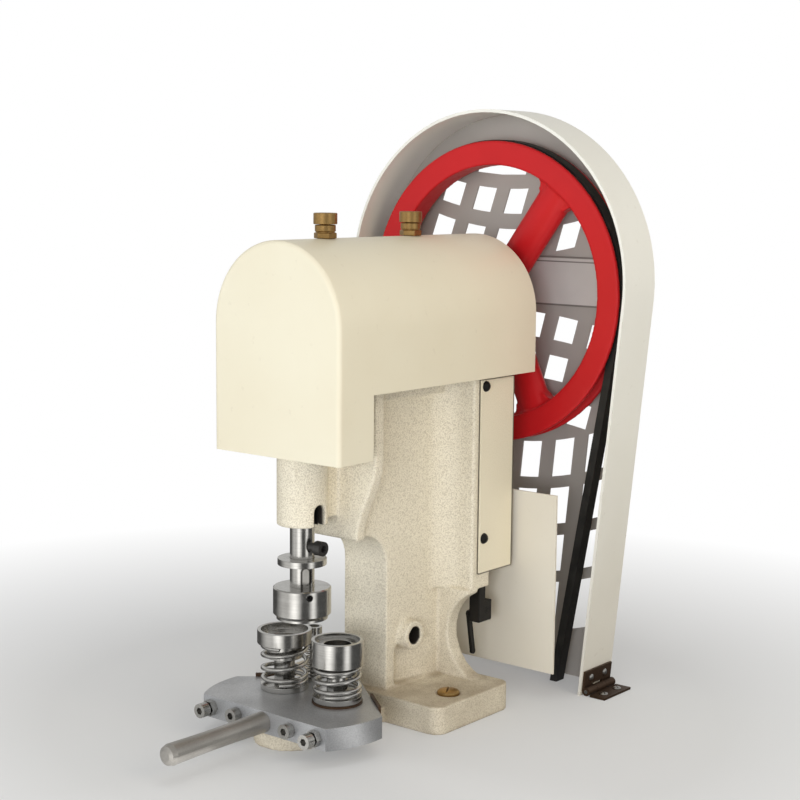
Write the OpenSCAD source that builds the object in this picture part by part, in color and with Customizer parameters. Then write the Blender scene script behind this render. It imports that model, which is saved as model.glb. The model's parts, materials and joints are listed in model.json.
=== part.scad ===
// Bench press for covering and closing buttons: cast frame, belt driven
// flywheel, guided ram and a swinging plate with spring dies.
// Millimetres, +Z up, +Y from the dies towards the flywheel.

/* [Stand] */
// Distance between the two table bolt holes, across the machine
bolt_spacing = 148; // [140:1:156]
// Diameter of the table bolt holes
bolt_hole = 14; // [11:0.5:16]
// Width of the feet across the machine
foot_width = 196; // [188:1:220]
// Thickness of the feet
foot_thick = 26; // [22:1:30]
// Width of the column behind the throat
column_width = 52; // [46:1:58]
// Height of the arm's underside above the table
throat_height = 177; // [172:1:182]

/* [Head] */
// Height of the main shaft above the table
shaft_height = 387; // [380:1:395]
// Diameter of the main shaft
shaft_d = 24; // [20:1:26]
// Outside width of the hood
hood_width = 148; // [142:1:160]
// Length of the hood from front to rear
hood_length = 286; // [278:1:290]
// Thickness of the hood's sheet
hood_sheet = 2; // [1:0.25:3]

/* [Ram] */
// Diameter of the ram
ram_d = 22; // [18:0.5:24]
// Travel of the ram upwards from the drawn position
ram_up = 20; // [12:1:22]
// Travel of the ram downwards from the drawn position
ram_down = 13; // [8:1:14]
// Diameter of the upper die
upper_die_d = 52; // [44:1:56]

/* [Die plate] */
// Distance from the plate's pivot to the ram and to each die
swing_radius = 51.6; // [50:0.2:53]
// Angle from the middle position to each die
swing_angle = 38.7; // [37:0.1:39.5]
// Radius of the plate's rounded sides
plate_radius = 89; // [86:1:92]
// Thickness of the plate
plate_thick = 20; // [18:0.5:22]
// Diameter of the handle's grip
handle_d = 19; // [16:0.5:20]
// Free length of the handle
handle_length = 115; // [80:1:130]

/* [Dies] */
// Outside diameter of the right die
right_die_d = 47; // [44:0.5:49]
// Outside diameter of the left die
left_die_d = 50; // [46:0.5:51]
// Wire of the two large springs
spring_wire = 4; // [3:0.1:4.2]

/* [Flywheel] */
// Outside radius of the flywheel
wheel_radius = 150; // [146:0.5:153]
// Width of the flywheel's rim
wheel_width = 26; // [24:0.5:27]
// Depth of the rim in the wheel's face
rim_depth = 24; // [22:0.5:28]

/* [Guard] */
// Outside radius of the guard's round top
guard_radius = 167.5; // [166:0.5:176]
// Distance of each guard leg from the middle, at the table
guard_foot = 128.5; // [122:0.5:134]
// Thickness of the guard's band
guard_sheet = 3; // [1.5:0.25:4]

/* [Hidden] */
$fn = 64;
eps = 0.01;
run = 0.05;

cream = [0.91, 0.87, 0.76];
steel = [0.75, 0.75, 0.74];
dark = [0.12, 0.12, 0.12];
brass = [0.72, 0.58, 0.28];
bronze = [0.62, 0.45, 0.25];
alu = [0.68, 0.69, 0.71];
red = [0.78, 0.09, 0.11];
brown = [0.36, 0.24, 0.17];

// Front plane of the hood; the bolt row lies on y = 0
front = -155;
ram_y = front + 35;
pivot_y = ram_y + swing_radius;
foot_front = front + 110;
foot_rear = front + 222;
foot_corner = 12;
spot_d = bolt_hole + 12;
spot_depth = 1.5;
column_half = column_width / 2;
throat_y = front + 122;
throat_r = 33;
column_rear = front + 215;
arm_front = front + 70;
wall = 12;
head_top = 330;
head_floor = head_top - 30;
flare_low = throat_height;
flare_high = 252;
flare_half_low = max(33.4, column_half + 4);
flare_half_high = 55.4;
flare_steps = 20;

// Hood and the parts that carry it
hood_half = hood_width / 2;
arch_z = shaft_height - 15;
hood_top = arch_z + hood_half;
hood_side_z = 315;
hood_skirt_z = 258;
skirt_depth = 45;
hood_edge = hood_sheet + 2;
neck_top = hood_top - hood_sheet;
neck_half = 13;
neck_gap = 0.3;
cup_y = [front + 64.5, front + 184];
cup_stem_d = 12;
cup_body_d = 19;
cup_cap_d = 22;
cup_body_h = 12.5;
cup_cap_h = 10;
cup_depth = 16;

// Main shaft and its bearings
bush_wall = 5;
bush_d = shaft_d + 2 * bush_wall;
bearing_half = bush_d / 2 + 16;
rear_bearing = [front + 165, front + 205];

// Crank, roller and yoke
stroke = ram_up + ram_down;
crank_r = stroke / 2;
crank_angle = 180 * ram_up / stroke;
roller_d = 22;
pin_d = 12;
crank_disc_r = crank_r + pin_d / 2 + 6;
yoke_half_t = 8;
yoke_slack = 0.2106 * crank_r + 0.6;
yoke_slot_half = roller_d / 2 + yoke_slack;
yoke_bar = 9;
yoke_slot_side = crank_r + roller_d / 2 + 1;
yoke_z = shaft_height + crank_r - ram_up;
yoke_stem_d = ram_d + 6;
yoke_stem_h = 18;
crank_disc_y = ram_y + yoke_stem_d / 2 + 1;
crank_disc = [crank_disc_y, crank_disc_y + 6];
front_bearing = [crank_disc[1] + 1, front + 89];
pin_x = crank_r * sin(crank_angle);
pin_z = shaft_height + crank_r * cos(crank_angle);
roller_half = 7.5;
washer_t = 2.5;

// Ram guide
boss_d = 45.4;
boss_low = 194;
boss_high = 275;
guide_wall = 3;
guide_d = ram_d + 2 * guide_wall;
slot_w = 15;
slot_top = 214;
slot_arc_z = slot_top - slot_w / 2;
guide_screw_z = 175;
guide_screw_d = 8;
guide_head_x = 17.5;
cap_head_d = 13;
cap_head_h = 8;
cap_socket_d = 6.9;
cap_socket_h = 4;
ram_low = 121;
collar_z = 158;
collar_h = 6;
collar_d = 44;
flat_angle = 62;
flat_w = 8;
flat_low = 144;
flat_high = 154;
flat_depth = 1.5;

// Upper die
die_top = 138;
die_body_low = 114;
die_lip = 109;
die_chamfer = 3;
die_lip_d = upper_die_d - 2 * die_chamfer;
die_mouth_d = die_lip_d - 8;
die_mouth_h = 6;
set_angle = 57.7;
set_z = 132.5;
set_d = 6;
set_recess = 3;

// Swinging plate
rest_r = 33;
rest_h = 14.7;
rest_y = front + 20;
plate_gap = 0.3;
plate_low = rest_h + plate_gap;
plate_high = plate_low + plate_thick;
plate_mid = (plate_low + plate_high) / 2;
plate_y = front + 33.5;
chord_y = front - 16;
lug_r = 18;
pivot_d = 12;
foot_clear = 3;
edge_offset = foot_front - foot_clear - pivot_y;
edge_angle = 90 - swing_angle;
die_x = swing_radius * sin(swing_angle);
die_y = pivot_y - swing_radius * cos(swing_angle);
bar_t = 2.4;
bar_h = 13;
bar_low = plate_high - 10;
bar_len = 38;
bar_from = 42;
far = 400;
pivot_washer_d = 26;
pivot_nut_d = 21;
pivot_nut_h = 9;
handle_in = 14;
handle_stud_d = 12;
handle_tip = 6;
handle_waist = 0.09;
handle_steps = 8;
screw_d = 8;
screw_in = 24;
stop_x = 63;
stop_reach = 16;
nut_d = 15;
nut_h = 6.5;

// Dies
post_d = 19;
post_in = 12;
spring_r = 20;
base_d = 44;
base_h = 5;
washer_h = 2;
right_top = 92.5;
right_body = 22.5;
right_hub_d = 33;
right_hub = 9;
right_rim = 3.5;
right_rim_depth = 4;
right_bore = 24;
right_bore_depth = 17.5;
left_top = 90.5;
left_body = 12.5;
left_hub_d = 33;
left_hub = 14;
left_rim = 3.5;
left_rim_depth = 7;
left_bore = 22;
left_bore_depth = 14;
right_seat = plate_high + washer_h + base_h;
left_seat = plate_high + base_h;
right_under = right_top - right_body;
left_under = left_top - left_body;
slim_post_d = 7;
slim_cup_d = 16;
slim_base_d = 16;
slim_space = 2.5;
slim_x = 3.5 - die_x;
slim_y = die_y + left_die_d / 2 + slim_cup_d / 2 + slim_space;
slim_base_h = 4;
slim_top = 86;
slim_cup_h = 9;
slim_spring_r = 7;
slim_wire = 1.6;
slim_seat = plate_high + slim_base_h;
slim_under = slim_top - slim_cup_h;
slim_post_in = 10;
cup_floor = 4;

// Rear block with the side cover
block_front = front + 205;
block_rear = front + 266;
block_half = hood_half - hood_sheet - 10;
block_low = 111;
block_step = front + 233;
block_step_z = 125;
block_wall = 14;
block_back = 10;
fillet_r = min(24, block_half - column_half - 4);
cover_t = 3;
cover = [front + 212.5, front + 265];
cover_z = [126, 312];
cover_screw_y = front + 219;
cover_screw_z = [160, 306];
window_inset = 12;
cover_head_d = 10.5;
cover_head_h = 4;
round_head_d = 10;
round_head_h = 3;
round_shank_d = 4;
round_shank = 8;
rib_t = 16;
rib_r = 44;
rib_x = column_half + 12 + rib_r;
rib_z = foot_thick + rib_r - 1.5;
side_boss_d = 28;
side_hole_d = 16;
side_boss_out = 10;
side_boss_y = front + 152;
side_boss_z = 74;
pocket = [front + 135, front + 192];
pocket_low = foot_thick + 2;
pocket_high = 67;
pocket_r = 8;
pocket_depth = 9;

// Flywheel, belt and guard
wheel_front = front + 311;
wheel_rear = wheel_front + wheel_width;
wheel_mid = (wheel_front + wheel_rear) / 2;
hub_r = 32;
hub_out = 5;
hub_rear = wheel_rear + 1;
rim_r = wheel_radius - rim_depth;
spokes = 3;
spoke_angle = 54;
spoke_w = 37;
spoke_t = 22;
spoke_sides = 32;
spoke_sink = 4;
spoke_fillet = 9;
spoke_fillet_t = 14;
belt_w = 13;
belt_t = 8;
belt_r = wheel_radius + 1;
belt_low_x = 86;
belt_in_x = belt_low_x - belt_t / cos(lean(belt_r, belt_low_x, shaft_height));
groove_gap = 0.4;
groove_low = belt_r - belt_t - groove_gap;
groove_low_half = belt_w / 2 + groove_gap;
groove_high_half = 8.5;
shaft_rear = hub_rear + 0.4;
wheel_washer_d = 40;
wheel_washer_t = 2.6;
wheel_screw_d = 8;
wheel_screw_in = 18;
wheel_head_d = 15;
wheel_head_h = 3.2;
guard_front = front + 295.4;
guard_rear = front + 348;
guard_z = shaft_height + 12.5;
guard_plate_t = 1.6;
strap_z = [375, 424];
strap_t = 1.5;
net_pitch = 39;
net_half = 11.5;
net_border = 26;
net_cols = 5;
net_row = 40.5;
net_high = 12.5;
net_rows = 3;
net_wide = [-27, 516, 30];
net_top = [-8.7, 436.5];
net_top_lean = 0.33;
net_top_bow = 0.0016;
net_mid = [29, 355.5];
net_mid_lean = 0.26;
net_mid_bow = -0.001;
net_low = [29.5, 215];
net_low_row = 49;
net_low_high = 18.5;
net_low_lean = 0.1;
net_last = [62, 25];
clutch_d = 60;
clutch = [front + 212, front + 258];
clutch_pin_d = 9;
clutch_pin_r = 21;

// Hinge at the guard's right foot
hinge_len = 48;
hinge_y = guard_front + 2;
hinge_t = 2.2;
hinge_leaf = 20;
table_leaf = 17;
table_screw_x = 13;
hinge_pin_d = 4;
knuckle_d = hinge_pin_d + 2 * hinge_t;
knuckles = 3;
knuckle_gap = 0.4;
hinge_screw_d = 5;
hinge_head_d = 7.5;
hinge_head_h = 1.8;
hinge_inset = 12;
hinge_screw_z = 16;
hinge_x = guard_foot + knuckle_d / 2 + 1;
knuckle_len = hinge_len / knuckles;

// Belt shield and trip lever
shield = [front + 270, front + 272];
shield_half = 113;
shield_z = [24, 200];
spacer_d = 12;
spacer_x = block_half - block_wall / 2;
spacer_z = 150;
spacer_bore = 5;
trip_x = [block_half - block_wall - 2, block_half - 4];
trip_bar = [front + 223, block_step];
trip_y = [trip_bar[0] + 8, trip_bar[0] + 20];
trip_z = [75, 95];
trip_pin_y = trip_y[0] + 6;
trip_pin_z = (trip_z[0] + trip_z[1]) / 2;
trip_pin_d = 5;
trip_lever_t = 3;
trip_lever_r = 6;
trip_lever_w = 5;
trip_elbow = [trip_pin_y - 12, trip_pin_z - 3];
trip_tip = [trip_pin_y - 5, trip_pin_z - 42];
trip_gap = 0.4;
trip_pin_tail = 3;
trip_head = trip_x[0] - 2 * trip_gap - trip_lever_t;

module along_y(a, b) {
  translate([0, b, 0])
    rotate([90, 0, 0])
      linear_extrude(b - a)
        children();
}

module along_x(a, b) {
  translate([a, 0, 0])
    rotate([90, 0, 90])
      linear_extrude(b - a)
        children();
}

module rod_y(a, b, d) {
  translate([0, a, 0])
    rotate([-90, 0, 0])
      cylinder(h = b - a, d = d);
}

module rod_x(a, b, d) {
  translate([a, 0, 0])
    rotate([0, 90, 0])
      cylinder(h = b - a, d = d);
}

// Rectangle given by two corners
module area(a, b) {
  translate([a[0], a[1]])
    square([b[0] - a[0], b[1] - a[1]]);
}

module mirrored() {
  children();
  mirror([1, 0, 0])
    children();
}

// Ring lying flat
module ring(d_out, d_in, h) {
  difference() {
    cylinder(h = h, d = d_out);
    translate([0, 0, -1])
      cylinder(h = h + 2, d = d_in);
  }
}

// Socket head screw pointing to -Z, head above z = 0
module cap_screw(d, head_d, head_h, length) {
  translate([0, 0, -length])
    cylinder(h = length + eps, d = d);
  difference() {
    cylinder(h = head_h, d = head_d);
    translate([0, 0, head_h - cap_socket_h])
      cylinder(h = cap_socket_h + 1, d = cap_socket_d, $fn = 6);
  }
}

// Domed screw pointing to -Z, head above z = 0
module round_screw(d, head_d, head_h, length) {
  sphere_r = (head_d * head_d / 4 + head_h * head_h) / (2 * head_h);
  translate([0, 0, -length])
    cylinder(h = length + eps, d = d);
  intersection() {
    cylinder(h = head_h, d = head_d);
    translate([0, 0, head_h - sphere_r])
      sphere(r = sphere_r);
  }
}

module hex_nut(d, hole, h) {
  difference() {
    cylinder(h = h, d = d, $fn = 6);
    translate([0, 0, -1])
      cylinder(h = h + 2, d = hole);
  }
}

// Helical tube between two flat seats
function unit(v) = v / norm(v);
function coil_path(r, wire, low, high, turns, steps) = concat(
  [[r, 0, low], [r, 0, low + wire]],
  [for (i = [1 : turns * steps - 1])
    let (share = i / (turns * steps), angle = 360 * turns * share)
      [r * cos(angle), r * sin(angle), low + wire + (high - low - 2 * wire) * share]],
  [[r, 0, high - wire], [r, 0, high]]);
function coil_gap(path, wire, steps) = min([
  for (i = [0 : len(path) - 1])
    for (j = [i + 1 : len(path) - 1])
      if (j - i > steps / 2) norm(path[i] - path[j])]) - wire;

module coil(r, wire, low, high, turns) {
  steps = 8;
  sides = 6;
  path = coil_path(r, wire, low, high, turns, steps);
  last = len(path) - 1;
  echo(least_gap = coil_gap(path, wire, steps));
  points = [
    for (i = [0 : last])
      let (
        before = path[max(0, i - 1)],
        after = path[min(last, i + 1)],
        t = i < 1 || i > last - 1 ? [0, 0, 1] : unit(unit(after - path[i]) + unit(path[i] - before)),
        side = [path[i][0], path[i][1], 0] / r,
        n = unit(side - (side * t) * t),
        b = cross(t, n))
        for (k = [0 : sides - 1])
          path[i] + wire / 2 * (cos(360 * k / sides) * n + sin(360 * k / sides) * b)];
  faces = concat(
    [[for (k = [0 : sides - 1]) k]],
    [for (i = [0 : last - 1])
      for (k = [0 : sides - 1])
        [i * sides + k, (i + 1) * sides + k, (i + 1) * sides + (k + 1) % sides]],
    [for (i = [0 : last - 1])
      for (k = [0 : sides - 1])
        [i * sides + k, (i + 1) * sides + (k + 1) % sides, i * sides + (k + 1) % sides]],
    [[for (k = [sides - 1 : -1 : 0]) last * sides + k]]);
  polyhedron(points = points, faces = faces, convexity = 8);
}

module foot_outline() {
  half = foot_width / 2;
  area([-half + foot_corner, foot_front], [half - foot_corner, foot_rear]);
  area([-half, foot_front + foot_corner], [half, foot_rear - foot_corner]);
  for (x = [-half + foot_corner, half - foot_corner])
    for (y = [foot_front + foot_corner, foot_rear - foot_corner])
      translate([x, y])
        circle(r = foot_corner);
}

module column_side() {
  difference() {
    area([arm_front, 0], [column_rear, head_top]);
    area([arm_front - 1, -1], [throat_y - throat_r, throat_height]);
    area([arm_front - 1, -1], [throat_y, throat_height - throat_r]);
    translate([throat_y - throat_r, throat_height - throat_r])
      circle(r = throat_r);
  }
}

function flare(share) = flare_half_low + (flare_half_high - flare_half_low) * (1 - cos(180 * share)) / 2;

module front_wall() {
  right = [for (i = [0 : flare_steps])
    [flare(i / flare_steps), flare_low + (flare_high - flare_low) * i / flare_steps]];
  left = [for (i = [flare_steps : -1 : 0])
    [-flare(i / flare_steps), flare_low + (flare_high - flare_low) * i / flare_steps]];
  polygon(concat(right, [[flare_half_high, head_top], [-flare_half_high, head_top]], left));
}

module bearing_shape() {
  area([-bearing_half, head_floor], [bearing_half, shaft_height]);
  translate([0, shaft_height])
    circle(r = bearing_half);
  intersection() {
    area([-neck_half, shaft_height], [neck_half, neck_top]);
    translate([0, arch_z])
      circle(r = hood_half - hood_sheet - neck_gap);
  }
}

module rib_shape() {
  difference() {
    union() {
      area([column_half - 1, foot_thick - 1], [rib_x, rib_z]);
      area([column_half - 1, rib_z - 1], [block_half, block_low + 1]);
    }
    translate([rib_x, rib_z])
      circle(r = rib_r);
  }
}

module frame_casting() {
  color(cream)
    difference() {
      union() {
        linear_extrude(foot_thick)
          foot_outline();
        linear_extrude(rest_h) {
          translate([0, rest_y])
            circle(r = rest_r);
          area([-rest_r, rest_y], [rest_r, foot_front + foot_corner]);
        }
        along_x(-column_half, column_half)
          column_side();
        along_y(arm_front, arm_front + wall)
          front_wall();
        translate([0, ram_y, boss_low])
          cylinder(h = boss_high - boss_low, d = boss_d);
        translate([-boss_d / 4, ram_y, boss_low + 4])
          cube([boss_d / 2, arm_front - ram_y + 1, boss_high - boss_low - 4]);
        translate([-bearing_half, arm_front, head_floor])
          cube([2 * bearing_half, block_rear - arm_front, head_top - head_floor]);
        along_y(front_bearing[0], front_bearing[1])
          bearing_shape();
        along_y(rear_bearing[0], rear_bearing[1])
          bearing_shape();
        along_x(-block_half, block_half) {
          area([block_front, block_low], [block_step, head_top]);
          area([block_front, block_step_z], [block_rear, head_top]);
        }
        mirrored()
          translate([column_half - 1, block_front - fillet_r, block_low])
            linear_extrude(head_top - block_low)
              difference() {
                square([fillet_r + 1, fillet_r + 1]);
                translate([fillet_r + 1, 0])
                  circle(r = fillet_r);
              }
        mirrored()
          along_y(column_rear - rib_t, column_rear)
            rib_shape();
        translate([0, side_boss_y, side_boss_z])
          rod_x(-column_half - side_boss_out, column_half + side_boss_out, side_boss_d);
      }
      for (x = [-bolt_spacing / 2, bolt_spacing / 2])
        translate([x, 0, -1]) {
          cylinder(h = foot_thick + 2, d = bolt_hole);
          translate([0, 0, foot_thick + 1 - spot_depth])
            cylinder(h = spot_depth + 1, d = spot_d);
        }
      translate([0, pivot_y, -1])
        cylinder(h = rest_h + 2, d = pivot_d);
      translate([0, ram_y, boss_low - 1])
        cylinder(h = boss_high - boss_low + 2, d = guide_d);
      guide_slot();
      translate([0, 0, shaft_height]) {
        rod_y(front_bearing[0] - 1, front_bearing[1] + 1, bush_d);
        rod_y(rear_bearing[0] - 1, rear_bearing[1] + 1, bush_d);
      }
      for (y = cup_y)
        translate([0, y, neck_top - cup_depth])
          cylinder(h = cup_depth + 1, d = cup_stem_d);
      translate([-block_half + block_wall, block_front + block_back, block_low - 1])
        cube([2 * (block_half - block_wall), block_rear - block_front, head_top - block_low + 2]);
      translate([block_half - block_wall - 1, cover[0] + window_inset, cover_z[0] + window_inset])
        cube([block_wall + 2, cover[1] - cover[0] - 2 * window_inset,
            cover_z[1] - cover_z[0] - 2 * window_inset]);
      for (z = cover_screw_z)
        translate([0, cover_screw_y, z])
          rod_x(block_half - round_shank + cover_t, block_half + 1, round_shank_d);
      for (x = [-spacer_x, spacer_x])
        translate([x, 0, spacer_z])
          rod_y(block_rear - round_shank, block_rear + 1, spacer_bore);
      translate([0, side_boss_y, side_boss_z])
        rod_x(-far, far, side_hole_d);
      mirrored()
        side_pocket();
    }
}

// Hollow in the column's side, round the boss, that runs out towards the rear
module side_pocket() {
  intersection() {
    linear_extrude(pocket_high)
      polygon([[column_half + 1, pocket[0]], [column_half - pocket_depth, pocket[0]],
        [column_half, pocket[1]], [column_half + 1, pocket[1]]]);
    along_x(column_half - pocket_depth - 1, column_half + 2)
      difference() {
        union() {
          area([pocket[0], pocket_low], [pocket[1], pocket_high - pocket_r]);
          area([pocket[0] + pocket_r, pocket_low], [pocket[1], pocket_high]);
          translate([pocket[0] + pocket_r, pocket_high - pocket_r])
            circle(r = pocket_r);
        }
        translate([side_boss_y, side_boss_z])
          circle(d = side_boss_d);
      }
  }
}

// Slot in the guide boss for the ram's screw
module guide_slot() {
  translate([0, ram_y - slot_w / 2, boss_low - 1])
    cube([boss_d, slot_w, slot_arc_z - boss_low + 1]);
  translate([0, ram_y, slot_arc_z])
    rod_x(0, boss_d, slot_w);
}

// Solid of the hood's shape, rounded at its front edge
module hood_body(inset, length) {
  r = hood_half - inset;
  e = hood_edge - inset;
  translate([0, front + inset, arch_z])
    rotate([-90, 0, 0])
      rotate_extrude() {
        area([0, e], [r, length]);
        area([0, 0], [r - e, length]);
        translate([r - e, e])
          circle(r = e);
      }
  translate([0, front + inset, hood_skirt_z - inset])
    linear_extrude(arch_z - hood_skirt_z + inset) {
      area([-r, e], [r, length]);
      area([-r + e, 0], [r - e, length]);
      for (x = [-r + e, r - e])
        translate([x, e])
          circle(r = e);
    }
}

module hood() {
  color(cream)
    difference() {
      hood_body(0, hood_length);
      hood_body(hood_sheet, hood_length);
      translate([-far, front + skirt_depth, 0])
        cube([2 * far, far, hood_side_z]);
      translate([-far, front - 1, 0])
        cube([2 * far, far, hood_skirt_z]);
      for (y = cup_y)
        translate([0, y, arch_z])
          cylinder(h = far, d = cup_stem_d);
    }
}

module oil_cup_bodies() {
  color(brass)
    for (y = cup_y)
      translate([0, y, 0]) {
        translate([0, 0, neck_top - cup_depth])
          cylinder(h = cup_depth + hood_sheet, d = cup_stem_d);
        translate([0, 0, hood_top])
          cylinder(h = cup_body_h, d = cup_body_d);
      }
}

module oil_cup_caps() {
  color(brass)
    for (y = cup_y)
      translate([0, y, hood_top + cup_body_h])
        cylinder(h = cup_cap_h, d = cup_cap_d);
}

module side_cover() {
  color(cream)
    difference() {
      translate([block_half, cover[0], cover_z[0]])
        cube([cover_t, cover[1] - cover[0], cover_z[1] - cover_z[0]]);
      for (z = cover_screw_z)
        translate([0, cover_screw_y, z])
          rod_x(block_half - 1, block_half + cover_t + 1, round_shank_d);
    }
}

module cover_screws() {
  color(dark)
    for (z = cover_screw_z)
      translate([block_half + cover_t, cover_screw_y, z])
        rotate([0, 90, 0])
          round_screw(round_shank_d, cover_head_d, cover_head_h, round_shank);
}

module bush(y) {
  color(bronze)
    translate([0, 0, shaft_height])
      difference() {
        rod_y(y[0], y[1], bush_d);
        rod_y(y[0] - 1, y[1] + 1, shaft_d + 2 * run);
      }
}

module front_bush() {
  bush(front_bearing);
}

module rear_bush() {
  bush(rear_bearing);
}

module crankshaft() {
  color(steel)
    difference() {
      translate([0, 0, shaft_height]) {
        rod_y(crank_disc[1] - 1, shaft_rear, shaft_d);
        rod_y(crank_disc[0], crank_disc[1], 2 * crank_disc_r);
      }
      translate([pin_x, 0, pin_z])
        rod_y(crank_disc[0] - 1, crank_disc[1] + 1, pin_d);
      translate([0, 0, shaft_height])
        rod_y(shaft_rear - wheel_screw_in, shaft_rear + 1, wheel_screw_d);
    }
}

module crank_pin() {
  color(steel)
    translate([pin_x, 0, pin_z])
      rod_y(ram_y - roller_half - washer_t, crank_disc[1], pin_d);
}

module crank_roller() {
  color(bronze)
    translate([pin_x, 0, pin_z])
      difference() {
        rod_y(ram_y - roller_half, ram_y + roller_half, roller_d);
        rod_y(ram_y - roller_half - 1, ram_y + roller_half + 1, pin_d + 2 * run);
      }
}

module roller_washer() {
  color(steel)
    translate([pin_x, 0, pin_z])
      difference() {
        rod_y(ram_y - roller_half - washer_t, ram_y - roller_half, roller_d - 2);
        rod_y(ram_y - far, ram_y, pin_d);
      }
}

module ram_yoke() {
  color(steel)
    difference() {
      union() {
        along_y(ram_y - yoke_half_t, ram_y + yoke_half_t)
          difference() {
            area([-yoke_slot_side - yoke_bar, yoke_z - yoke_slot_half - yoke_bar],
              [yoke_slot_side + yoke_bar, yoke_z + yoke_slot_half + yoke_bar]);
            area([-yoke_slot_side, yoke_z - yoke_slot_half], [yoke_slot_side, yoke_z + yoke_slot_half]);
          }
        translate([0, ram_y, yoke_z - yoke_slot_half - yoke_bar - yoke_stem_h])
          cylinder(h = yoke_stem_h + yoke_bar / 2, d = yoke_stem_d);
      }
      translate([0, ram_y, yoke_z - far - yoke_slot_half - yoke_bar])
        cylinder(h = far, d = ram_d);
    }
}

module ram() {
  color(steel)
    difference() {
      translate([0, ram_y, ram_low])
        cylinder(h = yoke_z - yoke_slot_half - yoke_bar - ram_low, d = ram_d);
      translate([0, ram_y, guide_screw_z])
        rod_x(0, ram_d, guide_screw_d);
      translate([0, ram_y, 0])
        rotate([0, 0, flat_angle - 90]) {
          translate([ram_d / 2 - flat_depth, -flat_w / 2, flat_low])
            cube([ram_d, flat_w, flat_high - flat_low]);
          for (z = [flat_low, flat_high])
            translate([0, 0, z])
              rod_x(ram_d / 2 - flat_depth, ram_d, flat_w);
        }
    }
}

module guide_bush() {
  color(bronze)
    difference() {
      translate([0, ram_y, boss_low])
        ring(guide_d, ram_d + 2 * run, boss_high - boss_low);
      guide_slot();
    }
}

module ram_collar() {
  color(steel)
    translate([0, ram_y, collar_z])
      ring(collar_d, ram_d, collar_h);
}

module guide_screw() {
  color(dark)
    translate([guide_head_x, ram_y, guide_screw_z])
      rotate([0, 90, 0])
        cap_screw(guide_screw_d, cap_head_d, cap_head_h, guide_head_x);
}

module upper_die() {
  color(steel)
    translate([0, ram_y, 0])
      difference() {
        rotate_extrude()
          polygon([[0, die_lip], [die_lip_d / 2, die_lip], [die_lip_d / 2, die_body_low - die_chamfer],
            [upper_die_d / 2, die_body_low], [upper_die_d / 2, die_top - 1],
            [upper_die_d / 2 - 1, die_top], [0, die_top]]);
        translate([0, 0, ram_low])
          cylinder(h = far, d = ram_d);
        translate([0, 0, die_lip - 1])
          cylinder(h = die_mouth_h + 1, d = die_mouth_d);
        rotate([0, 0, set_angle - 90])
          translate([0, 0, set_z])
            rod_x(ram_d / 2 - 1, upper_die_d, set_d);
      }
}

module die_set_screw() {
  color(dark)
    translate([0, ram_y, set_z])
      rotate([0, 0, set_angle - 90])
        difference() {
          rod_x(ram_d / 2, upper_die_d / 2 - set_recess, set_d);
          translate([upper_die_d / 2 - set_recess - 2, 0, 0])
            rotate([0, 90, 0])
              cylinder(h = far, d = set_d / 2, $fn = 6);
        }
}

module plate_outline() {
  difference() {
    translate([0, plate_y])
      circle(r = plate_radius);
    area([-far, -far], [far, chord_y]);
    for (side = [0, 1])
      mirror([side, 0])
        translate([0, pivot_y])
          rotate(edge_angle)
            area([edge_offset, -far], [far, far]);
    area([-far, pivot_y + edge_offset], [far, far]);
  }
  translate([0, pivot_y])
    circle(r = lug_r);
}

module at_dies() {
  for (x = [-die_x, die_x])
    translate([x, die_y, 0])
      children();
}

module die_plate() {
  color(alu)
    difference() {
      translate([0, 0, plate_low])
        linear_extrude(plate_thick)
          plate_outline();
      translate([0, pivot_y, 0])
        cylinder(h = far, d = pivot_d + 2 * run);
      at_dies()
        translate([0, 0, plate_high - post_in])
          cylinder(h = far, d = post_d);
      translate([slim_x, slim_y, plate_high - slim_post_in])
        cylinder(h = far, d = slim_post_d);
      translate([0, 0, plate_mid]) {
        rod_y(chord_y - 1, chord_y + handle_in, handle_stud_d);
        for (x = [-stop_x, stop_x, -die_x, die_x])
          translate([x, 0, 0])
            rod_y(chord_y - 1, chord_y + screw_in, screw_d);
      }
    }
}

module stop_bars() {
  color(brown)
    for (side = [0, 1])
      mirror([side, 0, 0])
        translate([0, pivot_y, bar_low])
          rotate([0, 0, edge_angle])
            translate([edge_offset, -bar_from - bar_len, 0])
              cube([bar_t, bar_len, bar_h]);
}

module pivot_post() {
  color(steel)
    translate([0, pivot_y, 0])
      cylinder(h = plate_high + plate_gap + washer_t + pivot_nut_h, d = pivot_d);
}

module pivot_washer() {
  color(steel)
    translate([0, pivot_y, plate_high + plate_gap])
      ring(pivot_washer_d, pivot_d, washer_t);
}

module pivot_nut() {
  color(steel)
    translate([0, pivot_y, plate_high + plate_gap + washer_t])
      hex_nut(pivot_nut_d, pivot_d, pivot_nut_h);
}

module handle() {
  color(steel)
    translate([0, chord_y - handle_length, plate_mid])
      rotate([-90, 0, 0])
        rotate_extrude()
          polygon(concat(
            [[0, 0], [handle_d / 4, 0], [handle_d * 0.43, handle_tip / 4]],
            [for (i = [0 : handle_steps])
              [handle_d / 2 * (1 - handle_waist * sin(180 * i / handle_steps)),
                handle_tip + (handle_length - handle_tip) * i / handle_steps]],
            [[handle_stud_d / 2, handle_length], [handle_stud_d / 2, handle_length + handle_in],
              [0, handle_length + handle_in]]));
}

module stop_screws() {
  color(steel)
    for (x = [-stop_x, stop_x])
      translate([x, chord_y - stop_reach + cap_head_h, plate_mid])
        rotate([90, 0, 0])
          cap_screw(screw_d, cap_head_d, cap_head_h, stop_reach - cap_head_h + screw_in);
}

module stop_lock_nuts() {
  color(steel)
    for (x = [-stop_x, stop_x])
      translate([x, chord_y, plate_mid])
        rotate([90, 0, 0])
          hex_nut(nut_d, screw_d, nut_h);
}

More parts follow.
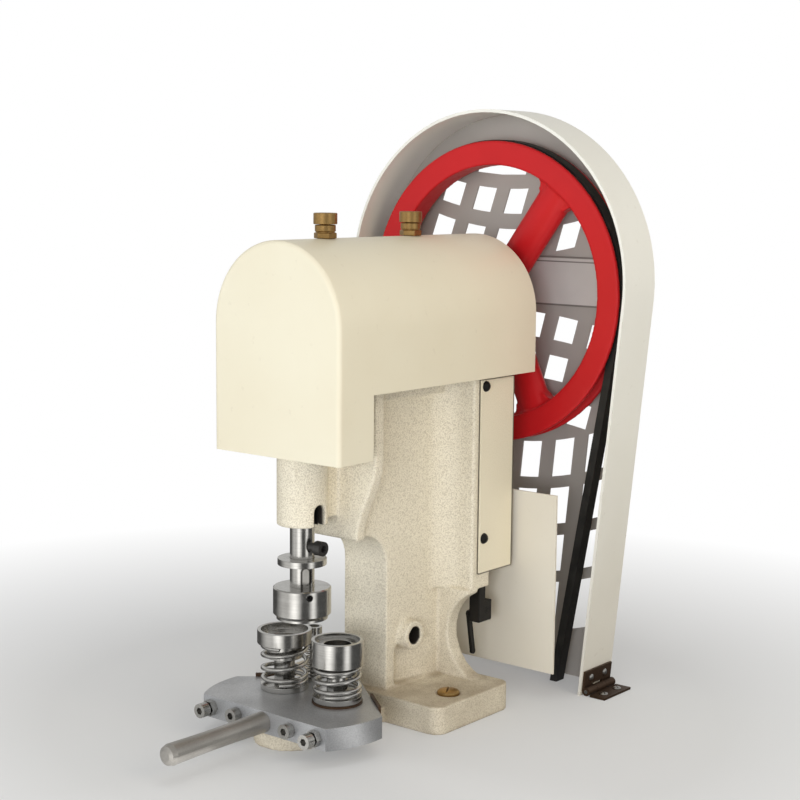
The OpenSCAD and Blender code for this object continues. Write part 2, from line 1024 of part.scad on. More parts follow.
module die_clamp_screws() {
  color(steel)
    for (x = [-die_x, die_x])
      translate([x, chord_y, plate_mid])
        rotate([90, 0, 0])
          cap_screw(screw_d, cap_head_d, cap_head_h, screw_in);
}

// Die body sliding on its post: rim, hub below and a stepped bore
module cup(d, top, body, hub_d, hub, rim, rim_depth, bore, bore_depth, fit) {
  difference() {
    union() {
      translate([0, 0, top - body])
        cylinder(h = body, d = d);
      translate([0, 0, top - body - hub])
        cylinder(h = hub + 1, d = hub_d);
    }
    translate([0, 0, top - rim_depth])
      cylinder(h = rim_depth + 1, d = d - 2 * rim);
    translate([0, 0, top - bore_depth])
      cylinder(h = bore_depth + 1, d = bore);
    translate([0, 0, top - body - hub - 1])
      cylinder(h = far, d = fit);
  }
}

module left_cup() {
  color(steel)
    translate([-die_x, die_y, 0])
      cup(left_die_d, left_top, left_body, left_hub_d, left_hub, left_rim, left_rim_depth,
        left_bore, left_bore_depth, post_d + 2 * run);
}

module right_cup() {
  color(steel)
    translate([die_x, die_y, 0])
      cup(right_die_d, right_top, right_body, right_hub_d, right_hub, right_rim, right_rim_depth,
        right_bore, right_bore_depth, post_d + 2 * run);
}

module post(x, high) {
  color(steel)
    translate([x, die_y, plate_high - post_in])
      cylinder(h = high - plate_high + post_in, d = post_d);
}

module left_post() {
  post(-die_x, left_top - left_bore_depth + cup_floor);
}

module right_post() {
  post(die_x, right_top - right_bore_depth + cup_floor);
}

module left_spring() {
  color(steel)
    translate([-die_x, die_y, 0])
      coil(spring_r, spring_wire, left_seat, left_under, 4);
}

module right_spring() {
  color(steel)
    translate([die_x, die_y, 0])
      coil(spring_r, spring_wire, right_seat, right_under, 3);
}

module left_base() {
  color(steel)
    translate([-die_x, die_y, plate_high])
      ring(base_d, post_d, base_h);
}

module right_base() {
  color(steel)
    translate([die_x, die_y, plate_high + washer_h])
      ring(base_d, post_d, base_h);
}

module right_washer() {
  color(brown)
    translate([die_x, die_y, plate_high])
      ring(base_d + 1.5, post_d, washer_h);
}

module slim_cup() {
  color(steel)
    translate([slim_x, slim_y, slim_under])
      difference() {
        cylinder(h = slim_cup_h, d = slim_cup_d);
        translate([0, 0, -1])
          cylinder(h = slim_cup_h + 2, d = slim_post_d + 2 * run);
        translate([0, 0, slim_cup_h - cup_floor])
          cylinder(h = slim_cup_h, d = slim_cup_d - 5);
      }
}

module slim_post() {
  color(steel)
    translate([slim_x, slim_y, plate_high - slim_post_in]) {
      cylinder(h = slim_top - cup_floor - plate_high + slim_post_in, d = slim_post_d);
      translate([0, 0, slim_post_in])
        cylinder(h = slim_base_h, d = slim_base_d);
    }
}

module slim_spring() {
  color(steel)
    translate([slim_x, slim_y, 0])
      coil(slim_spring_r, slim_wire, slim_seat, slim_under, 9);
}

// Corner between the spoke's side and the rim
module spoke_corner() {
  side = spoke_w / 2 + spoke_fillet;
  reach = rim_r - spoke_fillet;
  up = sqrt(reach * reach - side * side);
  difference() {
    area([spoke_w / 2 - spoke_sink, up], [side * rim_r / reach, rim_r + spoke_sink]);
    translate([side, up])
      circle(r = spoke_fillet);
  }
}

// Oval spoke pointing to +Z
module spoke() {
  translate([0, 0, hub_r - spoke_sink * 2])
    linear_extrude(rim_r - hub_r + 3 * spoke_sink)
      polygon([for (i = [0 : spoke_sides - 1])
        [spoke_w / 2 * cos(360 * i / spoke_sides), spoke_t / 2 * sin(360 * i / spoke_sides)]]);
  mirrored()
    along_y(-spoke_fillet_t / 2, spoke_fillet_t / 2)
      spoke_corner();
}

module flywheel() {
  half = wheel_width / 2;
  color(red)
    translate([0, wheel_mid, shaft_height])
      difference() {
        union() {
          rotate([-90, 0, 0])
            rotate_extrude()
              polygon([[rim_r, -half], [wheel_radius, -half], [wheel_radius, -groove_high_half],
                [groove_low, -groove_low_half], [groove_low, groove_low_half],
                [wheel_radius, groove_high_half], [wheel_radius, half], [rim_r, half]]);
          rod_y(-half - hub_out, hub_rear - wheel_mid, 2 * hub_r);
          for (i = [0 : spokes - 1])
            rotate([0, 90 - spoke_angle - 360 * i / spokes, 0])
              spoke();
        }
        rod_y(-far, far, shaft_d + 2 * run);
      }
}

module wheel_washer() {
  color(steel)
    translate([0, 0, shaft_height])
      difference() {
        rod_y(shaft_rear, shaft_rear + wheel_washer_t, wheel_washer_d);
        rod_y(shaft_rear - 1, shaft_rear + wheel_washer_t + 1, wheel_screw_d);
      }
}

module wheel_screw() {
  color(dark)
    translate([0, shaft_rear + wheel_washer_t, shaft_height])
      rotate([-90, 0, 0])
        round_screw(wheel_screw_d, wheel_head_d, wheel_head_h, wheel_screw_in + wheel_washer_t);
}

module clutch_collar() {
  color(steel)
    translate([0, 0, shaft_height])
      difference() {
        rod_y(clutch[0], clutch[1], clutch_d);
        rod_y(clutch[0] - 1, clutch[1] + 1, shaft_d);
        translate([0, 0, clutch_pin_r])
          rod_y(clutch[0] - 1, clutch[1] + 1, clutch_pin_d);
      }
}

module clutch_pin() {
  color(steel)
    translate([0, 0, shaft_height + clutch_pin_r])
      rod_y(clutch[0], wheel_front - hub_out - 1, clutch_pin_d);
}

// Angle of a line through (foot, 0) that touches the circle r about (0, z)
function lean(r, foot, z) = acos(r / norm([foot, z])) - atan2(z, foot);

// Outline of a loop open at the table: round top and two leaning legs
module loop(r, foot, z) {
  a = lean(r, foot, z);
  intersection() {
    union() {
      translate([0, z])
        circle(r = r);
      polygon([[r * cos(a), z + r * sin(a)], [-r * cos(a), z + r * sin(a)], [-foot, 0], [foot, 0]]);
    }
    area([-far, 0], [far, far * 2]);
  }
}

module v_belt() {
  color(dark)
    along_y(wheel_mid - belt_w / 2, wheel_mid + belt_w / 2)
      difference() {
        loop(belt_r, belt_low_x, shaft_height);
        loop(belt_r - belt_t, belt_in_x, shaft_height);
      }
}

module guard_inner(inset) {
  a = lean(guard_radius, guard_foot, guard_z);
  loop(guard_radius - inset, guard_foot - inset / cos(a), guard_z);
}

module guard_band() {
  color(cream)
    difference() {
      along_y(guard_front, guard_rear)
        difference() {
          guard_inner(0);
          guard_inner(guard_sheet);
        }
      leg_screw_places()
        rod_x(-guard_sheet - 1, 1, hinge_screw_d);
    }
}

// Point of the net at a height, in columns that lean from the start and rows that bow
function net_point(start, lean, bow, x, z) =
  let (across = start[0] + x + lean * (z - start[1]))
    [across, z + bow * across * across];
function net_leg(z) = guard_foot + (guard_radius - guard_foot) * z / guard_z;
function on_plate(p) = p[1] > guard_z
  ? norm([p[0], p[1] - guard_z]) < guard_radius - net_border
  : abs(p[0]) < net_leg(p[1]) - net_border;

module net_cell(start, lean, bow, x, z, half, high) {
  cell = [for (c = [[-1, -1], [0, -1], [1, -1], [1, 1], [0, 1], [-1, 1]])
    net_point(start, lean, bow, x + c[0] * half, z + c[1] * high)];
  if (min([for (c = cell) on_plate(c) ? 1 : 0]) > 0)
    polygon(cell);
}

module net(rows, start, lean, bow) {
  for (row = rows)
    for (i = [-net_cols : net_cols])
      net_cell(start, lean, bow, i * net_pitch, row[0], net_half, row[1]);
}

module guard_back_plate() {
  color(cream)
    along_y(guard_rear - guard_plate_t, guard_rear)
      difference() {
        guard_inner(guard_sheet);
        net([for (i = [0 : net_rows - 2]) [net_top[1] + i * net_row, net_high]],
          net_top, net_top_lean, net_top_bow);
        for (i = [-1 : 1])
          net_cell(net_top, net_top_lean, net_top_bow, net_wide[0] + 2 * i * net_pitch, net_wide[1],
            net_wide[2], net_high);
        net([for (i = [0 : net_rows - 1]) [net_mid[1] - i * net_row, net_high]],
          net_mid, net_mid_lean, net_mid_bow);
        net([for (i = [0 : net_rows - 1]) [net_low[1] - i * net_low_row, net_low_high]],
          net_low, net_low_lean, net_top_bow);
        net([net_last], net_low, net_low_lean, net_top_bow);
      }
}

module guard_cross_strap() {
  color(cream)
    along_y(guard_rear - guard_plate_t - strap_t, guard_rear - guard_plate_t)
      difference() {
        intersection() {
          guard_inner(guard_sheet);
          area([-far, strap_z[0]], [far, strap_z[1]]);
        }
        translate([0, shaft_height])
          circle(r = wheel_washer_d / 2 + 4);
      }
}

// Frame on the right leg: z runs up the leg, x points out of it
module on_leg() {
  translate([guard_foot, 0, 0])
    rotate([0, -lean(guard_radius, guard_foot, guard_z), 0])
      children();
}

module leg_screw_places() {
  on_leg()
    for (y = [hinge_y + hinge_inset, hinge_y + hinge_len - hinge_inset])
      translate([0, y, hinge_screw_z])
        children();
}

module knuckle(index) {
  translate([hinge_x, 0, knuckle_d / 2])
    difference() {
      rod_y(hinge_y + index * knuckle_len + knuckle_gap / 2,
        hinge_y + (index + 1) * knuckle_len - knuckle_gap / 2, knuckle_d);
      rod_y(hinge_y - 1, hinge_y + hinge_len + 1, hinge_pin_d);
    }
}

module hinge_bore() {
  translate([hinge_x, 0, knuckle_d / 2])
    rod_y(hinge_y - 1, hinge_y + hinge_len + 1, hinge_pin_d);
}

module hinge_guard_leaf() {
  color(brown)
    difference() {
      union() {
        knuckle(0);
        knuckle(2);
        on_leg()
          translate([0, hinge_y, knuckle_d / 2])
            cube([hinge_t, hinge_len, hinge_leaf]);
      }
      translate([guard_foot - 1, hinge_y + knuckle_len - knuckle_gap / 2, 0])
        cube([knuckle_d + 2, knuckle_len + knuckle_gap, knuckle_d + 1]);
      hinge_bore();
      leg_screw_places()
        rod_x(-1, hinge_t + 1, hinge_screw_d);
    }
}

module hinge_table_leaf() {
  color(brown)
    difference() {
      union() {
        knuckle(1);
        translate([hinge_x + knuckle_d / 2 + knuckle_gap, hinge_y, 0])
          cube([table_leaf, hinge_len, hinge_t]);
        translate([hinge_x, hinge_y + knuckle_len + knuckle_gap / 2, 0])
          cube([knuckle_d, knuckle_len - knuckle_gap, hinge_t]);
      }
      hinge_bore();
      for (y = [hinge_y + hinge_inset, hinge_y + hinge_len - hinge_inset])
        translate([hinge_x + table_screw_x, y, -1])
          cylinder(h = hinge_t + 2, d = hinge_screw_d);
    }
}

module hinge_pin() {
  color(steel)
    translate([hinge_x, 0, knuckle_d / 2])
      rod_y(hinge_y, hinge_y + hinge_len, hinge_pin_d);
}

module hinge_screws() {
  color(steel)
    leg_screw_places()
      translate([hinge_t, 0, 0])
        rotate([0, 90, 0])
          round_screw(hinge_screw_d, hinge_head_d, hinge_head_h, hinge_t + guard_sheet);
}

module belt_shield() {
  color(cream)
    difference() {
      translate([-shield_half, shield[0], shield_z[0]])
        cube([2 * shield_half, shield[1] - shield[0], shield_z[1] - shield_z[0]]);
      for (x = [-spacer_x, spacer_x])
        translate([x, 0, spacer_z])
          rod_y(shield[0] - 1, shield[1] + 1, spacer_bore);
    }
}

module shield_spacers() {
  color(steel)
    for (x = [-spacer_x, spacer_x])
      translate([x, 0, spacer_z])
        difference() {
          rod_y(block_rear, shield[0], spacer_d);
          rod_y(block_rear - 1, shield[0] + 1, spacer_bore);
        }
}

module shield_screws() {
  color(dark)
    for (x = [-spacer_x, spacer_x])
      translate([x, shield[1], spacer_z])
        rotate([-90, 0, 0])
          round_screw(spacer_bore, round_head_d, round_head_h, round_shank + shield[1] - block_rear);
}

module trip_bracket() {
  color(dark)
    difference() {
      along_x(trip_x[0], trip_x[1]) {
        area([trip_bar[0], trip_z[0]], [trip_bar[1], block_low]);
        area([trip_y[0], trip_z[0]], [trip_y[1], trip_z[1]]);
      }
      translate([0, trip_pin_y, trip_pin_z])
        rod_x(trip_x[0] - 1, trip_x[1] + 1, trip_pin_d);
    }
}

// Flat bar between two points, with round ends a little wider than the bar
module link(a, b, w) {
  translate(a)
    rotate(atan2(b[1] - a[1], b[0] - a[0]))
      area([0, -w / 2], [norm(b - a), w / 2]);
  for (end = [a, b])
    translate(end)
      circle(d = w * 1.12);
}

module trip_lever() {
  color(dark)
    along_x(trip_x[0] - trip_gap - trip_lever_t, trip_x[0] - trip_gap)
      difference() {
        union() {
          translate([trip_pin_y, trip_pin_z])
            circle(r = trip_lever_r);
          link([trip_pin_y, trip_pin_z], trip_elbow, trip_lever_w);
          link(trip_elbow, trip_tip, trip_lever_w);
        }
        translate([trip_pin_y, trip_pin_z])
          circle(d = trip_pin_d + 2 * run);
      }
}

module trip_pin() {
  color(steel)
    translate([0, trip_pin_y, trip_pin_z]) {
      rod_x(trip_head - trip_pin_tail, trip_x[1], trip_pin_d);
      rod_x(trip_head - trip_pin_tail, trip_head, trip_pin_d + 4);
    }
}

frame_casting();
hood();
oil_cup_bodies();
oil_cup_caps();
side_cover();
cover_screws();
front_bush();
rear_bush();
crankshaft();
crank_pin();
crank_roller();
roller_washer();
ram_yoke();
ram();
guide_bush();
ram_collar();
guide_screw();
upper_die();
die_set_screw();
die_plate();
stop_bars();
pivot_post();
pivot_washer();
pivot_nut();
handle();
stop_screws();
stop_lock_nuts();
die_clamp_screws();
left_cup();
left_post();
left_spring();
left_base();
right_cup();
right_post();
right_spring();
right_base();
right_washer();
slim_cup();
slim_post();
slim_spring();
flywheel();
wheel_washer();
wheel_screw();
clutch_collar();
clutch_pin();
v_belt();
guard_band();
guard_back_plate();
guard_cross_strap();
hinge_guard_leaf();
hinge_table_leaf();
hinge_pin();
hinge_screws();
belt_shield();
shield_spacers();
shield_screws();
trip_bracket();
trip_lever();
trip_pin();
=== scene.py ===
import bpy
import json
import math
from mathutils import Matrix, Vector


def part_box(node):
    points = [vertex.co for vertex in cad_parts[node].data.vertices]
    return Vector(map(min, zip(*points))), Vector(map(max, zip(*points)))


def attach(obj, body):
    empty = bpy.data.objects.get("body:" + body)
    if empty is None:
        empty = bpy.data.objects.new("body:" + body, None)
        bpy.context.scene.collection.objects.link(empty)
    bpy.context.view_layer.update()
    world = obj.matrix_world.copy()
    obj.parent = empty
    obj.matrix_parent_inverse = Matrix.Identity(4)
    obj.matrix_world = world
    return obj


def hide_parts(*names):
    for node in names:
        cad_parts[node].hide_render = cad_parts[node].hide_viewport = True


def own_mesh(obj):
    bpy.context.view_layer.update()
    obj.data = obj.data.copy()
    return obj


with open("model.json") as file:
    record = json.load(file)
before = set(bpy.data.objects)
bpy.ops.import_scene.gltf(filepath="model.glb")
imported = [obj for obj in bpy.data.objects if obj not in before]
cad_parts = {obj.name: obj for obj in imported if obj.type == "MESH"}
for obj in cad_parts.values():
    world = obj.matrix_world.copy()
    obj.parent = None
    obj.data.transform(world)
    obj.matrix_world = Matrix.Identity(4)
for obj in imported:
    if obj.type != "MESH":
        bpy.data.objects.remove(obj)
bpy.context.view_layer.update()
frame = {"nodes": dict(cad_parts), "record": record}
nodes = frame["nodes"]
mounts = {mount["name"]: mount for mount in frame["record"]["mounts"]}
mm = 0.001
print("frame:", len(nodes), "nodes")


# selecting and applying, as by hand

def deselect():
    if bpy.context.mode != "OBJECT":
        bpy.ops.object.mode_set(mode="OBJECT")
    bpy.ops.object.select_all(action="DESELECT")


def pick(piece):
    deselect()
    piece.select_set(True)
    bpy.context.view_layer.objects.active = piece


def applyModifier(piece, kind, **settings):
    pick(piece)
    made = piece.modifiers.new(kind.lower(), kind)
    for name, value in settings.items():
        setattr(made, name, value)
    bpy.ops.object.modifier_apply(modifier=made.name)


def settle(piece, angle):
    pick(piece)
    bpy.ops.object.transform_apply(location=True, rotation=True, scale=True)
    bpy.ops.object.shade_smooth_by_angle(angle=math.radians(angle))
    return piece


def addObject(name, data):
    made = bpy.data.objects.new(name, data)
    bpy.context.scene.collection.objects.link(made)
    return made


def fasten(piece, body, slotName, *replaced):
    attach(piece, body)
    if replaced:
        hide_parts(*replaced)
    return piece


def middle(node):
    low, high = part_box(node)
    return (low + high) / 2


ramAxis = middle("ram")


# shader maths

class Wire:
    def __init__(self, tree, socket):
        self.tree = tree
        self.socket = socket

    def join(self, operation, first, second):
        made = self.tree.nodes.new("ShaderNodeMath")
        made.operation = operation
        for slot, value in zip(made.inputs, (first, second)):
            if isinstance(value, Wire):
                self.tree.links.new(value.socket, slot)
            else:
                slot.default_value = value
        return Wire(self.tree, made.outputs[0])

    def __add__(self, other):
        return self.join("ADD", self, other)

    def __radd__(self, other):
        return self.join("ADD", other, self)

    def __sub__(self, other):
        return self.join("SUBTRACT", self, other)

    def __rsub__(self, other):
        return self.join("SUBTRACT", other, self)

    def __mul__(self, other):
        return self.join("MULTIPLY", self, other)

    def __rmul__(self, other):
        return self.join("MULTIPLY", other, self)


class Shading:
    def __init__(self, tree):
        self.tree = tree

    def feed(self, inputs, sockets):
        for name, value in sockets.items():
            if isinstance(value, Wire):
                self.tree.links.new(value.socket, inputs[name])
            else:
                inputs[name].default_value = value

    def node(self, kind, sockets=None, out=0, **settings):
        made = self.tree.nodes.new("ShaderNode" + kind)
        for name, value in settings.items():
            setattr(made, name, value)
        self.feed(made.inputs, sockets or {})
        return Wire(self.tree, made.outputs[out])


class Finish(Shading):
    def __init__(self, name):
        self.material = bpy.data.materials.new(name)
        self.material.use_nodes = True
        super().__init__(self.material.node_tree)
        self.surface = self.tree.nodes["Principled BSDF"]
        self.spot = self.node("TexCoord", out=3)  # object coordinates

    def maths(self, operation, *values):
        return self.node("Math", dict(enumerate(values)), operation=operation)

    def vector(self, operation, *values):
        return self.node("VectorMath", dict(enumerate(values)), operation=operation)

    def measure(self, operation, *values):  # length or dot product
        return self.node("VectorMath", dict(enumerate(values)), out=1, operation=operation)

    def mix(self, share, first, second):
        return self.node("Mix", {0: share, 6: first, 7: second}, out=2, data_type="RGBA")

    def spread(self, value, low, high):
        return self.node("MapRange", {"Value": value, "From Min": low, "From Max": high})

    def noise(self, scale, detail):
        return self.node("TexNoise", {"Vector": self.spot, "Scale": scale, "Detail": detail})

    def patches(self, scale, detail, low, high):
        return self.spread(self.noise(scale, detail), low, high)

    def edges(self, radius):
        rounded = self.node("Bevel", {"Radius": radius}, samples=4)
        flat = self.node("NewGeometry", out=1)
        return self.spread(self.measure("DOT_PRODUCT", rounded, flat), 0.995, 0.9)

    def corners(self, distance, start=0.4):
        lit = self.node("AmbientOcclusion", {"Distance": distance}, out=1, samples=4)
        return self.spread(1 - lit, start, 0.95)

    def reach(self, centre, along, far, near):
        flat = self.vector("MULTIPLY", self.vector("SUBTRACT", self.spot, centre), along)
        return self.spread(self.measure("LENGTH", flat), far, near)

    def below(self, top, full):
        return self.reach((0, 0, 0), (0, 0, 1), top, full)

    def relief(self, height, depth, strength):
        return self.node("Bump", {"Height": height, "Distance": depth, "Strength": strength})

    def lay(self, **sockets):
        named = {"colour": "Base Color", "rough": "Roughness", "metal": "Metallic", "normal": "Normal",
                 "shine": "Specular IOR Level"}
        self.feed(self.surface.inputs, {named[key]: value for key, value in sockets.items()})
        return self.material

    def show(self, shader):
        self.feed(self.tree.nodes["Material Output"].inputs, {"Surface": shader})
        return self.material


def tint(red, green, blue):
    return (red, green, blue, 1.0)


# painted finishes

def castPaint():
    look = {"pale": tint(0.92, 0.85, 0.685), "deep": tint(0.55, 0.48, 0.355), "shadeAndGrime": tint(0.30, 0.22, 0.13),
            "oily": tint(0.02, 0.016, 0.012), "dimples": 880, "depth": 0.5 * mm, "cornerShadeAndGrime": 14 * mm,
            "dust": (70 * mm, 26 * mm), "darkerTowardBottom": (190 * mm, 30 * mm),
            "bossBore": (21 * mm, 18 * mm), "bossTop": (218 * mm, 214 * mm)}
    sideBore = mounts["side_rod_bore"]
    sideRadius = sideBore["dims"]["r_mm"] * mm
    f = Finish("creamHammerPaint")
    cells = f.node("TexVoronoi", {"Vector": f.spot, "Scale": look["dimples"]}, feature="SMOOTH_F1")
    hammer = cells * 0.6 + f.noise(look["dimples"] * 1.7, 3) * 0.8
    speckle = f.spread(hammer, 0.55, 0.83)
    body = f.mix(f.patches(9, 4, 0.35, 0.7) * 0.2 + speckle * 0.74, look["pale"], look["deep"])
    # painted shade in the corners from ambient occlusion, broken up by patches; the same mask also roughens
    # the paint there
    cornerShadeAndGrime = f.corners(look["cornerShadeAndGrime"], 0.35) * f.patches(60, 4, 0.3, 0.75)
    # low upward faces and the foot are darker: partly painted shade of the low parts, partly dust
    upward = f.spread(f.node("SeparateXYZ", {0: f.node("NewGeometry", out=1)}, out=2), 0.3, 0.9)
    lowShadeAndDust = f.below(*look["dust"]) * (upward * 0.32 + 0.24) * f.patches(35, 5, 0.2, 0.6)
    # corner shade, the low darkening and a faint darkening towards the bottom are mixed towards a brown-grey
    colour = f.mix(cornerShadeAndGrime * 0.55 + lowShadeAndDust + f.below(*look["darkerTowardBottom"]) * 0.1, body, look["shadeAndGrime"])
    # painted shade inside the boss's slot and the side bore, nearly black
    slot = f.reach(ramAxis, (1, 1, 0), *look["bossBore"]) * f.below(*look["bossTop"])
    hole = f.reach(sideBore["pos_m"], (0, 1, 1), sideRadius + 0.9 * mm, sideRadius + 0.1 * mm)
    colour = f.mix(f.maths("MAXIMUM", slot, hole), colour, look["oily"])
    return f.lay(colour=colour, rough=0.36 + speckle * 0.14 + cornerShadeAndGrime * 0.2,
                 normal=f.relief(hammer, look["depth"], 1.0), shine=0.45)


def smoothPaint(name, pale, deep, rough=0.3, shadeBelow=0.0):
    look = {"shadeAndGrime": tint(0.36, 0.28, 0.18), "peel": 0.12 * mm, "cornerShadeAndGrime": 10 * mm, "worn": 0.9 * mm}
    f = Finish(name)
    clouds = f.noise(7, 3)
    scuffs = f.patches(140, 6, 0.66, 0.74)
    # painted shade in the corners from ambient occlusion, with scuffs
    shadeAndScuffs = f.corners(look["cornerShadeAndGrime"]) * 0.35 + scuffs * 0.08
    # painted shade: darker towards the bottom of the part
    if shadeBelow:
        shadeAndScuffs = shadeAndScuffs + f.below(shadeBelow, shadeBelow * 0.1) * (clouds * 0.3 + 0.15)
    worn = f.edges(look["worn"]) * f.patches(90, 5, 0.5, 0.66)
    colour = f.mix(shadeAndScuffs, f.mix(f.spread(clouds, 0.35, 0.68), pale, deep), look["shadeAndGrime"])
    colour = f.mix(worn * 0.5, colour, look["shadeAndGrime"])
    return f.lay(colour=colour, rough=rough + clouds * 0.08 + scuffs * 0.12,
                 normal=f.relief(f.noise(380, 2), look["peel"], 0.35), shine=0.5)


def coverPaint():
    look = {"pale": tint(0.86, 0.785, 0.605), "deep": tint(0.76, 0.685, 0.51),
            "shadeAndGrime": tint(0.06, 0.045, 0.028), "peel": 0.4 * mm, "gapShadow": (1.9 * mm, 1.2 * mm),
            "rearEdge": (2.0 * mm, 1.2 * mm), "lowEdge": (1.5 * mm, 0.8 * mm)}
    low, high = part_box("side_cover")
    f = Finish("creamCoverPaint")
    grains = f.noise(1000, 3)
    body = f.mix(f.patches(9, 4, 0.35, 0.7) * 0.3 + f.spread(grains, 0.42, 0.62) * 0.7,
                 look["pale"], look["deep"])
    # painted shadow lines: along the cover's inner face where it meets the casting, and along its rear and
    # lower edges
    gapShadow = f.reach(low, (1, 0, 0), *look["gapShadow"])
    outline = f.reach(high, (0, 1, 0), *look["rearEdge"]) + f.reach(low, (0, 0, 1), *look["lowEdge"])
    rim = f.maths("MINIMUM", gapShadow + outline, 1.0)
    return f.lay(colour=f.mix(rim * 0.92, body, look["shadeAndGrime"]), rough=0.34 + grains * 0.1,
                 normal=f.relief(grains, look["peel"], 0.8), shine=0.45)


def strapPaint():
    look = {"pale": tint(0.60, 0.56, 0.515), "deep": tint(0.50, 0.465, 0.425),
            "shadeAndGrime": tint(0.10, 0.085, 0.07), "edge": 0.8 * mm, "fold": 5.2 * mm,
            "edgeLine": (1.3 * mm, 0.7 * mm), "foldLine": (0.9 * mm, 0.4 * mm)}
    low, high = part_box("guard_cross_strap")
    f = Finish("strapPaint")
    body = f.mix(f.patches(9, 4, 0.35, 0.7), look["pale"], look["deep"])
    # painted shadow lines along the strap's top and bottom edges and along a fold below the top
    upper = f.reach((0, 0, high.z - look["edge"]), (0, 0, 1), *look["edgeLine"])
    fold = f.reach((0, 0, high.z - look["fold"]), (0, 0, 1), *look["foldLine"])
    lower = f.reach((0, 0, low.z + look["edge"]), (0, 0, 1), *look["edgeLine"])
    shadowLines = f.maths("MAXIMUM", upper + fold, lower)
    return f.lay(colour=f.mix(shadowLines * 0.8, body, look["shadeAndGrime"]), rough=0.45, shine=0.4)


def redPaint():
    look = {"bright": tint(0.58, 0.012, 0.015), "deep": tint(0.42, 0.007, 0.010),
            "chip": tint(0.20, 0.03, 0.03), "peel": 0.3 * mm, "cornerShadeAndGrime": 12 * mm, "worn": 1.0 * mm}
    f = Finish("redEnamel")
    skin = f.noise(160, 3)
    worn = f.edges(look["worn"]) * f.patches(70, 5, 0.52, 0.68)
    # random tone patches and painted shade in the corners from ambient occlusion
    toneAndCornerShade = f.patches(12, 3, 0.35, 0.7) * 0.35 + f.corners(look["cornerShadeAndGrime"], 0.35) * 0.5
    colour = f.mix(worn * 0.6, f.mix(toneAndCornerShade, look["bright"], look["deep"]), look["chip"])
    return f.lay(colour=colour, rough=0.3 + f.spread(skin, 0.4, 0.7) * 0.14,
                 normal=f.relief(skin * 0.5 + f.noise(700, 2) * 0.25, look["peel"], 0.35), shine=0.3)


# bare metals and rubber

steelDark = tint(0.19, 0.18, 0.165)


# painted shade on the ram's keyway: a darker floor and a dark line along its outline
def markKeyway(f, local, colour):
    look = {"angle": 62, "top": 152 * mm, "half": 4 * mm, "edge": tint(0.02, 0.018, 0.012),
            "outer": (4 * mm, 7 * mm), "above": (6 * mm, 5 * mm), "line": (1.3 * mm, 0.5 * mm),
            "soft": 0.3 * mm}
    turn = math.radians(look["angle"])
    out = f.measure("DOT_PRODUCT", local, (math.sin(turn), -math.cos(turn), 0))
    side = f.measure("DOT_PRODUCT", local, (math.cos(turn), math.sin(turn), 0))
    up = f.node("SeparateXYZ", {0: local}, out=2) - (look["top"] - ramAxis.z)
    over = f.maths("MAXIMUM", up, 0.0)
    span = f.maths("SQRT", side * side + over * over)
    there = f.spread(out, *look["outer"]) * f.spread(up, *look["above"])
    inside = f.spread(span, look["half"], look["half"] - look["soft"]) * there
    outline = f.spread(f.maths("ABSOLUTE", span - look["half"]), *look["line"]) * there
    return f.mix(outline * 0.9, f.mix(inside * 0.6, colour, steelDark), look["edge"])


def turnedMetal(name, centre, axis=2, keyway=False):
    look = {"pale": tint(0.56, 0.55, 0.53), "rough": 0.17, "rings": 900, "groove": 0.008 * mm, "cornerShadeAndGrime": 5 * mm}
    f = Finish(name)
    local = f.vector("SUBTRACT", f.spot, centre)
    flatten = [0.0 if number == axis else 1.0 for number in range(3)]
    radius = f.measure("LENGTH", f.vector("MULTIPLY", local, flatten))
    line = f.node("CombineXYZ", {0: radius, 1: f.node("SeparateXYZ", {0: local}, out=axis)})
    groove = f.node("TexNoise", {"Vector": line, "Scale": look["rings"], "Detail": 3.0})
    cornerShadeAndGrime = f.corners(look["cornerShadeAndGrime"])
    # groove and patch tone, and painted shade in the corners from ambient occlusion; the corner mask also
    # roughens the steel
    toneAndCornerShade = f.spread(groove, 0.35, 0.65) * 0.14 + f.patches(45, 4, 0.55, 0.75) * 0.25 + cornerShadeAndGrime * 0.55
    colour = f.mix(toneAndCornerShade, look["pale"], steelDark)
    if keyway:
        colour = markKeyway(f, local, colour)
    smear = f.patches(120, 4, 0.4, 0.7)
    return f.lay(colour=colour, metal=1.0, rough=look["rough"] + smear * 0.08 + cornerShadeAndGrime * 0.15,
                 normal=f.relief(groove, look["groove"], 0.3))


def plainMetal(name, pale, dark, **changed):
    look = {"rough": 0.35, "grain": 900, "depth": 0.04 * mm, "metal": 1.0, "shine": 0.5, "oily": 0.4,
            "speck": 0.2, "cornerShadeAndGrime": 6 * mm, "rub": 0.5 * mm}
    look.update(changed)
    f = Finish(name)
    fine = f.noise(look["grain"], 4)
    broad = f.patches(25, 4, 0.35, 0.7)
    rub = f.edges(look["rub"])
    # broad and fine tone, and painted shade in the hollows from ambient occlusion
    toneAndCornerShade = broad * 0.35 + f.spread(fine, 0.4, 0.7) * look["speck"] + f.corners(look["cornerShadeAndGrime"]) * look["oily"]
    colour = f.mix(rub * 0.25, f.mix(toneAndCornerShade, pale, dark), pale)
    return f.lay(colour=colour, metal=look["metal"], rough=look["rough"] + broad * 0.12 - rub * 0.1,
                 normal=f.relief(fine, look["depth"], 0.5), shine=look["shine"])


def rubber():
    look = {"black": tint(0.010, 0.010, 0.009), "dusty": tint(0.05, 0.046, 0.04), "fibre": 0.12 * mm}
    f = Finish("beltRubber")
    dust = f.patches(60, 4, 0.45, 0.75)
    return f.lay(colour=f.mix(dust * 0.5, look["black"], look["dusty"]), rough=0.55 + dust * 0.2,
                 normal=f.relief(f.noise(500, 3), look["fibre"], 0.5))


# rounded casting and wheel

